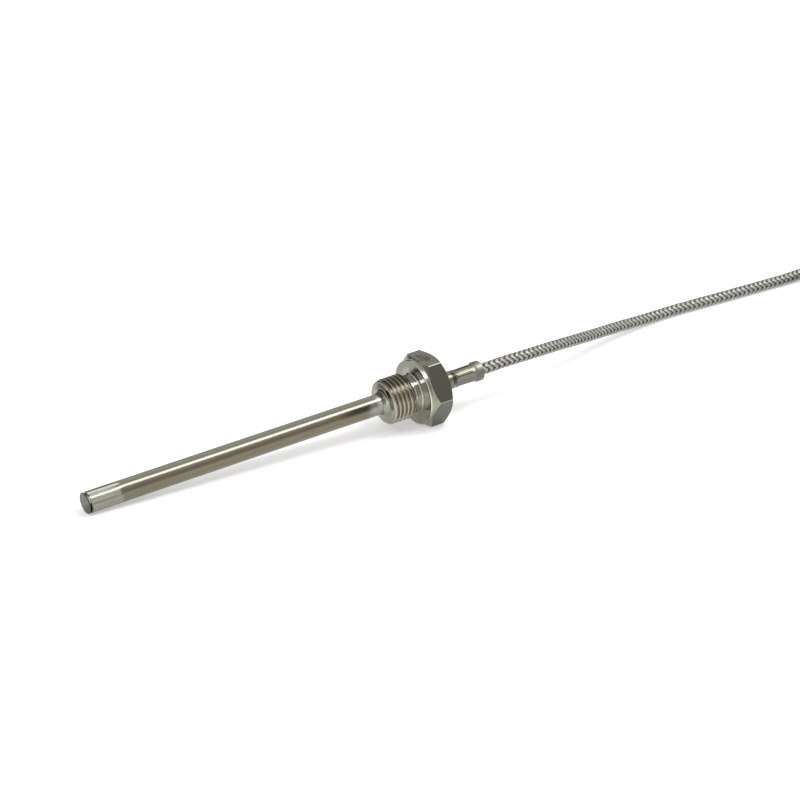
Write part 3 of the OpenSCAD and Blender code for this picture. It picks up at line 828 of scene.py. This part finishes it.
braidValues = {
    "radius": 1.59,
    "lift": 0.09,
    "carriers": 6,
    "lay": 11.4,
    "wire": 0.122,
    "wires": 7,
    "rowTurn": 56.0,  # angle from above of the middle of a row, on the -Y side
    "flatten": 2.2,  # of the wave from over to under
    "nearLength": 205.0,
    "overlap": 0.4,
    "liner": 1.42,
}


# A flat band of wires: how far across and how high, in half wires. A fine section has a crest
# for each wire and a valley between two, and a plain one is flat. Both are flat below.
def bandSection(v, fine):
    half = v["wires"]
    if fine:
        across = np.arange(-half, half + 1)
        lift = np.where(across % 2 == half % 2, 0.25, 1.0)
        lift[[0, -1]] = 0.1
    else:
        across = np.array([-half, -half * 0.55, half * 0.55, half])
        lift = np.array([0.2, 0.95, 0.95, 0.2])
    across = np.append(across, [half * 0.94, -half * 0.94])
    return across * v["wire"] / 2, np.append(lift, [-1, -1]) * v["wire"] / 2


# Each carrier turns once round the cable in one lay, way +1 or -1. Its distance from the middle
# is the mean radius plus or minus the lift, by a flattened cosine of three times its angle, so
# that it passes over two of the others, then under two.
def braidPiece(name, span, way, fine, material):
    v = braidValues
    keep = (cableGone >= span[0]) & (cableGone <= span[1] + 1e-6)
    line, gone = cableLine[keep], cableGone[keep]
    _, up, right = frameOf(line)
    across, height = bandSection(v, fine)
    start = np.arange(v["carriers"])[:, None, None] * 2 * np.pi / v["carriers"]
    slant = math.cos(math.atan(2 * math.pi * v["radius"] / v["lay"]))
    middle = start + way * 2 * np.pi * gone[None, :, None] / v["lay"]
    angle = (middle + across / (v["radius"] * slant))[..., None]
    wave = np.tanh(v["flatten"] * np.cos(3 * (middle - math.radians(v["rowTurn"]))))
    wave = way * wave / math.tanh(v["flatten"])
    radius = v["radius"] + v["lift"] * wave + height
    spoke = np.cos(angle) * up[:, None] + np.sin(angle) * right[:, None]
    points = line[:, None] + radius[..., None] * spoke
    lift = (np.broadcast_to(wave, radius.shape) + 1) / 2
    return gridPiece(name, points * mm, material, lift=lift)


def linerPiece(material):
    return gridPiece("cable_liner", barAlong(cableLine, braidValues["liner"], 16) * mm,
                     material, node=["cable", "cable_coil"])


endValues = {
    "sleeveAt": 18.0,  # degrees from the coil's +X side, and on clockwise from there
    "sleeveRadius": 2.1,
    "sleeveLength": 12.0,
    "sleeveRounding": 0.35,
    "shrink": 0.06,  # how much smaller the sleeve is where it holds the cable
    "tailRadius": 0.6,
    "tailGap": 1.35,
    "tailLength": 30.0,
    "tailZ": 8.42,
    "collarLength": 3.0,
    "pinLength": 6.0,
    "pinRadius": 0.45,
    "pinTeeth": 0.04,
}
tailStart = endValues["sleeveAt"] - np.degrees(endValues["sleeveLength"] / cableValues["endRadius"])
tailEnd = tailStart - np.degrees(endValues["tailLength"] / cableValues["endRadius"])


# directions over the coil at an angle: outward, and anticlockwise round it
def coilAxes(angle):
    a = math.radians(angle)
    return np.array([math.cos(a), math.sin(a), 0]), np.array([-math.sin(a), math.cos(a), 0])


# a bent round sleeve; its ends are rounded over a quarter circle and close to a small cap
def endSleevePiece(material):
    v = endValues
    share = np.linspace(0, 1, 41)
    line = overCoil(cableValues["endRadius"], v["sleeveAt"] + share * (tailStart - v["sleeveAt"]),
                    cableValues["endZ"])
    close = np.minimum(np.minimum(share, 1 - share) * v["sleeveLength"] / v["sleeveRounding"], 1)
    radius = v["sleeveRadius"] - v["sleeveRounding"] * (1 - np.sqrt(1 - (1 - close) ** 2))
    radius = radius * (1 - v["shrink"] * np.exp(-((share - 0.5) / 0.36) ** 8))
    frames = frameOf(overCoil(cableValues["endRadius"], np.linspace(v["sleeveAt"], tailStart, 43),
                              cableValues["endZ"]))
    points = barAlong(np.concatenate([line[:1], line, line[-1:]]), [0.2, *radius, 0.2], 40, frames)
    return gridPiece("end_sleeve_body", points * mm, material, sharpAngle=50,
                     node="end_sleeve")


# the line of one tail lead, side by side on one arc, and lower after the sleeve
def tailLine(n):
    v = endValues
    t = np.linspace(0, 1, 31)
    sink, spread = np.minimum(1, t * 6), np.minimum(1, t * 2)
    close = 2 * v["tailRadius"] + 0.05
    gap = close + (v["tailGap"] - close) * spread
    z = cableValues["endZ"] + (v["tailZ"] - cableValues["endZ"]) * sink
    return overCoil(cableValues["endRadius"] + (n - 2) * gap, tailStart + t * (tailEnd - tailStart), z)


def tailPiece(n, material):
    return gridPiece(f"tail_lead_{n}_body", barAlong(tailLine(n), endValues["tailRadius"], 20) * mm,
                     material, sharpAngle=50, node=f"tail_lead_{n}")


# a ferrule: a flared collar over the insulation, and a crimped pin whose radius is a cosine
def ferrulePiece(n, material, node=None):
    v = endValues
    middle = overCoil(cableValues["endRadius"] + (n - 2) * v["tailGap"], tailEnd, v["tailZ"])
    out, back = coilAxes(tailEnd)
    c, p, r, pr = v["collarLength"], v["pinLength"], v["tailRadius"], v["pinRadius"]
    teeth = np.arange(1, 41)
    pin = np.stack([c + 0.15 + (p - 0.4) * teeth / 40,
                    pr - v["pinTeeth"] * (1 - np.cos(teeth * np.pi / 4)) / 2], -1)
    collar = [(0.03, 0.2), (0.03, r - 0.08), (0.1, r - 0.01), (c - 0.5, r - 0.01), (c - 0.2, r - 0.04),
              (c, pr + 0.03), (c + 0.15, pr)]
    tip = [(c + p - 0.1, pr - 0.02), (c + p, pr - 0.12), (c + p, 0.1)]
    profile = np.concatenate([collar, pin, tip])
    angle = evenTurn(24)[None, :, None]
    spoke = np.cos(angle) * overhead + np.sin(angle) * out
    points = middle - profile[:, :1, None] * back + profile[:, 1:, None] * spoke
    return gridPiece(f"lead_ferrule_{n}", points * mm, material, sharpAngle=50,
                     turned=True, node=node)


tieValues = {
    "angles": (-35.0, -215.0),
    "heights": (8.46, 7.22),  # of the room inside the strap
    "inner": 13.43,
    "outer": 27.9,
    "room": 0.1,
    "thick": 0.6,
    "width": 2.5,
    "edge": 0.12,
    "corner": 9.0,
    "head": (2.2, 4.4, 4.0),
    "headCorner": 7.0,
}


# a rectangle whose corners a power rounds: across and up from its middle
def softRectangle(count, halfWide, halfHigh, power):
    t = evenTurn(count)
    spoke = np.stack([np.cos(t), np.sin(t)], -1)
    return spoke * (np.abs(spoke / (halfWide, halfHigh)) ** power).sum(-1, keepdims=True) ** (-1 / power)


# a strap: a soft rectangle carried round a flat band's section
def tiePiece(k, material, node):
    v = tieValues
    halfWide = (v["outer"] - v["inner"]) / 2 + v["room"] + v["thick"] / 2
    halfHigh = (v["heights"][k] + v["thick"]) / 2
    outline = softRectangle(128, halfWide, halfHigh, v["corner"])
    tangent = unit(np.roll(outline, -1, 0) - np.roll(outline, 1, 0))
    normal = np.stack([tangent[:, 1], -tangent[:, 0]], -1)
    h, w, b = v["thick"] / 2 - 0.01, v["width"] / 2, v["edge"]
    section = np.array([(h, -w + b), (h, 0), (h, w - b), (h - b, w), (-h + b, w), (-h, w - b),
                        (-h, 0), (-h, -w + b), (-h + b, -w), (h - b, -w)])
    flat = outline[:, None] + section[:, :1] * normal[:, None]
    out, across = coilAxes(v["angles"][k])
    centre = overCoil((v["inner"] + v["outer"]) / 2, v["angles"][k], halfHigh + v["thick"] / 2)
    points = centre + flat[..., :1] * out + flat[..., 1:] * overhead + section[:, 1:] * across
    return gridPiece(f"coil_tie_{k + 1}", points * mm, material, wrapRows=True,
                     sharpAngle=50, node=node)


# a tie's head: a box with rounded upright edges and a small slot for the strap
def tieHeadPiece(k, material):
    v = tieValues
    sx, sy, sz = v["head"]
    ring = softRectangle(48, 1.0, 1.0, v["headCorner"]) * (sx / 2, sy / 2)
    rows = np.array([(0.0, 0.45), (0.0, 0.9), (0.06, 0.97), (0.2, 1.0), (sz - 0.2, 1.0),
                     (sz - 0.06, 0.97), (sz, 0.9), (sz, 0.45), (sz - 0.5, 0.42)])[:, None]
    ring = ring * rows[..., 1:]
    out, across = coilAxes(v["angles"][k])
    centre = overCoil(v["outer"] + v["room"] + (v["thick"] + sx) / 2, v["angles"][k],
                      v["thick"] + (v["heights"][k] - sz) / 2)
    points = centre + rows[..., :1] * overhead + ring[..., :1] * out + ring[..., 1:] * across
    return gridPiece(f"coil_tie_head_{k + 1}", points * mm, material, sharpAngle=40)


tipValues = {
    "front": -103.36,
    "disc": 0.3,
    "groove": 0.52,
    "discRadius": 2.95,
    "grooveRadius": 2.15,
    "bodyEnd": 4.1,
    "skew": 2.0,
    "skewAt": -55.0,
    "rim": 0.22,
    "tackAt": -135.0,
    "tackTurn": 56.0,
    "tackRadius": 2.45,
}


# a turned plug: a disc with a rounded rim, a groove behind it, then the body in the tube. The
# disc leans by a small angle, so the groove is wider on one side.
def plugPiece(material):
    v = tipValues
    angles = evenTurn(96)
    front, r, rim, body = v["front"], v["discRadius"], v["rim"], v["grooveRadius"]
    back = front + v["disc"]
    lean = math.tan(math.radians(v["skew"])) * np.cos(angles - math.radians(v["skewAt"]))
    rows = [(front + 0.06, 0.0), (front + 0.06, 0.6), (front + 0.05, 1.4), (front + 0.04, 2.2),
            (front + 0.04, r - rim - 0.1)]
    rows += rowsRound((front + 0.03 + rim, r - rim), rim, 175, 90, 7)
    rows += rowsRound((back - 0.1, r - 0.1), 0.1, 90, 0, 4)
    rows.append((back, 2.4))
    rows = [(x + lean * radius * 0.9, radius) for x, radius in rows]
    rows += [(back + 0.02 + lean * 2.1, body), (back + v["groove"] + 0.3, body),
             (front + v["bodyEnd"] - 0.1, body), (front + v["bodyEnd"], 2.0), (front + v["bodyEnd"], 0.0)]
    return gridPiece("tip_plug_body", turnedGrid(rows, angles), material, ends="pole",
                     sharpAngle=35, node="tip_plug")


# a lump that fills a short arc of the groove, highest in its middle, with a few ripples
def tackPiece(material):
    v = tipValues
    u = np.linspace(0, 1, 33)
    w = evenTurn(20)
    arch = (np.sqrt(np.maximum(1 - (2 * u - 1) ** 2, 0)) * (1 + 0.05 * np.sin(u * 21)))[:, None]
    angle = np.radians(v["tackAt"] + (u - 0.5) * v["tackTurn"])
    x = v["front"] + v["disc"] + v["groove"] / 2 + np.cos(w) * (0.2 + 0.3 * arch)
    radius = v["tackRadius"] + np.sin(w) * (0.1 + 0.44 * arch)
    return gridPiece("tack_weld_body", onProbe(x, radius, angle[:, None]), material,
                     sharpAngle=60, node="tack_weld")


brazeValues = {
    "back": -10.17,
    "inner": 3.02,
    "reach": 1.7,
    "uneven": (0.04, 0.025),
}


# a hollow fillet of braze between tube and fitting: a concave arc, slightly uneven round it
def brazePiece(material):
    v = brazeValues
    angles = evenTurn(120)
    reach = v["reach"] + v["uneven"][0] * np.sin(2 * angles + 0.6) + v["uneven"][1] * np.sin(5 * angles)
    rows = [(v["back"] - reach * (1 - math.sin(t)), v["inner"] + reach * (1 - math.cos(t)))
            for t in np.radians(np.linspace(0, 90, 16))]
    rows += [(v["back"] + 0.005, v["inner"] - 0.01), (-10.8, v["inner"] - 0.01)]
    return gridPiece("braze_fillet_body", turnedGrid(rows, angles), material,
                     wrapRows=True, sharpAngle=50, node="braze_fillet")


fittingMetal = fittingFinish(fittingLook)
tubeMetal = tubeFinish(tubeLook)
plugMetal = plugFinish(plugMarks)
weldMetal = plainMetal("weldBead", (0.36, 0.37, 0.32), (0.28, 0.29, 0.25), 0.4)
brazeMetal = brazeFinish(brazeMarks)
braidMetal = braidFinish()
pinMetal = plainMetal("tinPlate", (0.72, 0.72, 0.7), (0.6, 0.6, 0.58), 0.3)
linerCloth = plainFinish("wovenLiner", (0.06, 0.059, 0.052), (0.04, 0.04, 0.036), 0.8)
tieNylon = plainFinish("nylonTie", (0.86, 0.86, 0.83), (0.8, 0.8, 0.77), 0.4)
sleeveBlack = plainFinish("shrunkSleeve", (0.03, 0.03, 0.03), (0.02, 0.02, 0.02), 0.45)
leadRed = plainFinish("redInsulation", (0.6, 0.09, 0.07), (0.5, 0.07, 0.05), 0.35)
leadWhite = plainFinish("whiteInsulation", (0.88, 0.87, 0.83), (0.8, 0.79, 0.75), 0.35)
print("outer finishes made")

liner = linerPiece(linerCloth)
spans = {"near": (0, braidValues["nearLength"]),
         "far": (braidValues["nearLength"] - braidValues["overlap"], cableGone[-1])}
braids = [braidPiece(f"cable_braid_{part}_{k + 1}", span, way, part == "near", braidMetal)
          for part, span in spans.items() for k, way in enumerate((1, -1))]
sleeve = endSleevePiece(sleeveBlack)
ties = [tiePiece(k, tieNylon, node) for k, node in enumerate(("coil_ties", None))]
ties += [tieHeadPiece(k, tieNylon) for k in (0, 1)]
for n in (1, 2, 3):
    tail = tailPiece(n, leadWhite if n == 2 else leadRed)
    ferrule = ferrulePiece(n, pinMetal, "lead_ferrules" if n == 1 else None)
    line = tailLine(n) * mm
print("cable, ties and leads made")

fittingPiece(fittingMetal)
sheathPiece(tubeMetal)
plugPiece(plugMetal)
tackPiece(weldMetal)
brazePiece(brazeMetal)
print("fitting and sheath made")

innerFinishes = {
    "cement": plainFinish("ceramicCement", (0.8, 0.76, 0.66), (0.7, 0.66, 0.56), 0.9),
    "powder": plainFinish("packedPowder", (0.9, 0.89, 0.85), (0.82, 0.81, 0.78), 0.95),
    "ceramic": plainFinish("glazedCeramic", (0.88, 0.86, 0.8), (0.82, 0.8, 0.74), 0.2),
    "platinum_lead": plainMetal("platinumWire", (0.75, 0.74, 0.71), (0.68, 0.67, 0.64), 0.2),
    "joint_braze": plainMetal("brazedJoint", (0.7, 0.68, 0.6), (0.6, 0.58, 0.5), 0.35),
    "glass_yarn": plainFinish("glassYarn", (0.85, 0.82, 0.74), (0.75, 0.72, 0.64), 0.85),
    "conductor": plainMetal("platedCopper", (0.74, 0.62, 0.45), (0.66, 0.54, 0.38), 0.3),
    "white_insulation": leadWhite,
    "red_insulation": leadRed,
    "jacket": plainFinish("innerJacket", (0.84, 0.8, 0.72), (0.76, 0.72, 0.64), 0.6),
    "braid": plainMetal("cutBraid", (0.54, 0.54, 0.505), (0.36, 0.36, 0.335), 0.4),
}
for part in frame["record"]["subparts"]:
    finish = innerFinishes.get(part["material_slot"])
    if finish:
        materials = frame["nodes"][part["node"]].data.materials
        materials.clear()
        materials.append(finish)
print("inner pieces finished")


studio = {
    "floorColour": (0.86, 0.86, 0.86),
    "floorGlow": 0.35,  # what the floor adds where it is seen directly or in reflections
    "floorHalf": 6.0,
    "aim": (-0.02, 0.0, 0.01),
    "lampDistance": 1.1,
    "key": {"way": (0.497, -0.225, 0.838), "size": (0.41, 0.9), "power": 4.9},
    "fill": {"way": (-0.497, -0.225, 0.838), "size": (0.3, 0.3), "power": 1.1},
    "around": {"level": 0.6, "back": 0.2, "low": 0.3, "behind": 0.85},
}


def makeFloor(v):
    p = Paint("paleFloor")
    seen = 0.0
    for ray in ("Is Camera Ray", "Is Glossy Ray", "Is Transmission Ray"):
        seen = p.node("ShaderNodeLightPath", output=ray) + seen
    matt = p.node("ShaderNodeBsdfDiffuse", None, {"Color": v["floorColour"]})
    glow = p.node("ShaderNodeEmission", None,
                  {"Color": (1.0, 1.0, 1.0), "Strength": seen * v["floorGlow"]})
    both = p.node("ShaderNodeAddShader", None, {0: matt, 1: glow})
    p.node("ShaderNodeOutputMaterial", None, {"Surface": both})
    mesh = bpy.data.meshes.new("floor")
    h = v["floorHalf"]
    mesh.from_pydata([(-h, -h, 0), (h, -h, 0), (h, h, 0), (-h, h, 0)], [], [(0, 1, 2, 3)])
    mesh.materials.append(p.material)
    floor = bpy.data.objects.new("floor", mesh)
    bpy.context.scene.collection.objects.link(floor)


# a soft rectangular lamp that faces the aim point from its own way
def makeLamp(name, lamp, v):
    data = bpy.data.lights.new(name, "AREA")
    data.shape = "RECTANGLE"
    data.size, data.size_y = lamp["size"]
    data.energy = lamp["power"]
    way = unit(np.array(lamp["way"]))
    right = unit(np.cross([0.0, 1.0, 0.0], way))
    putAt(name, data, np.cross(right, way), right, way, np.array(v["aim"]) + way * v["lampDistance"])


# brighter towards +Y and low down than elsewhere, but dimmed low down straight behind the probe
def makeWorld(v):
    world = bpy.data.worlds.new("surroundings")
    bpy.context.scene.world = world
    world.use_nodes = True
    p = Paint("surroundings", world.node_tree)
    x, y, z = p.split(p.node("ShaderNodeTexCoord", output="Generated"))
    behind = y.step(0.1, 0.5) * z.step(0.36, 0.18) * v["behind"]
    level = y.step(-0.5, 0.6) * v["back"] + z.step(0.42, 0.0) * v["low"] + v["level"]
    level = level * (1 - behind)
    seen = p.node("ShaderNodeLightPath", output="Is Camera Ray")
    level = level * (1 - seen) + seen
    shade = p.node("ShaderNodeBackground", None, {"Color": (1.0, 1.0, 1.0), "Strength": level})
    p.node("ShaderNodeOutputWorld", None, {"Surface": shade})


bpy.context.scene.view_settings.view_transform = "Standard"
makeFloor(studio)
for name in ("key", "fill"):
    makeLamp(name, studio[name], studio)
makeWorld(studio["around"])
print("floor, lamps and surroundings made")
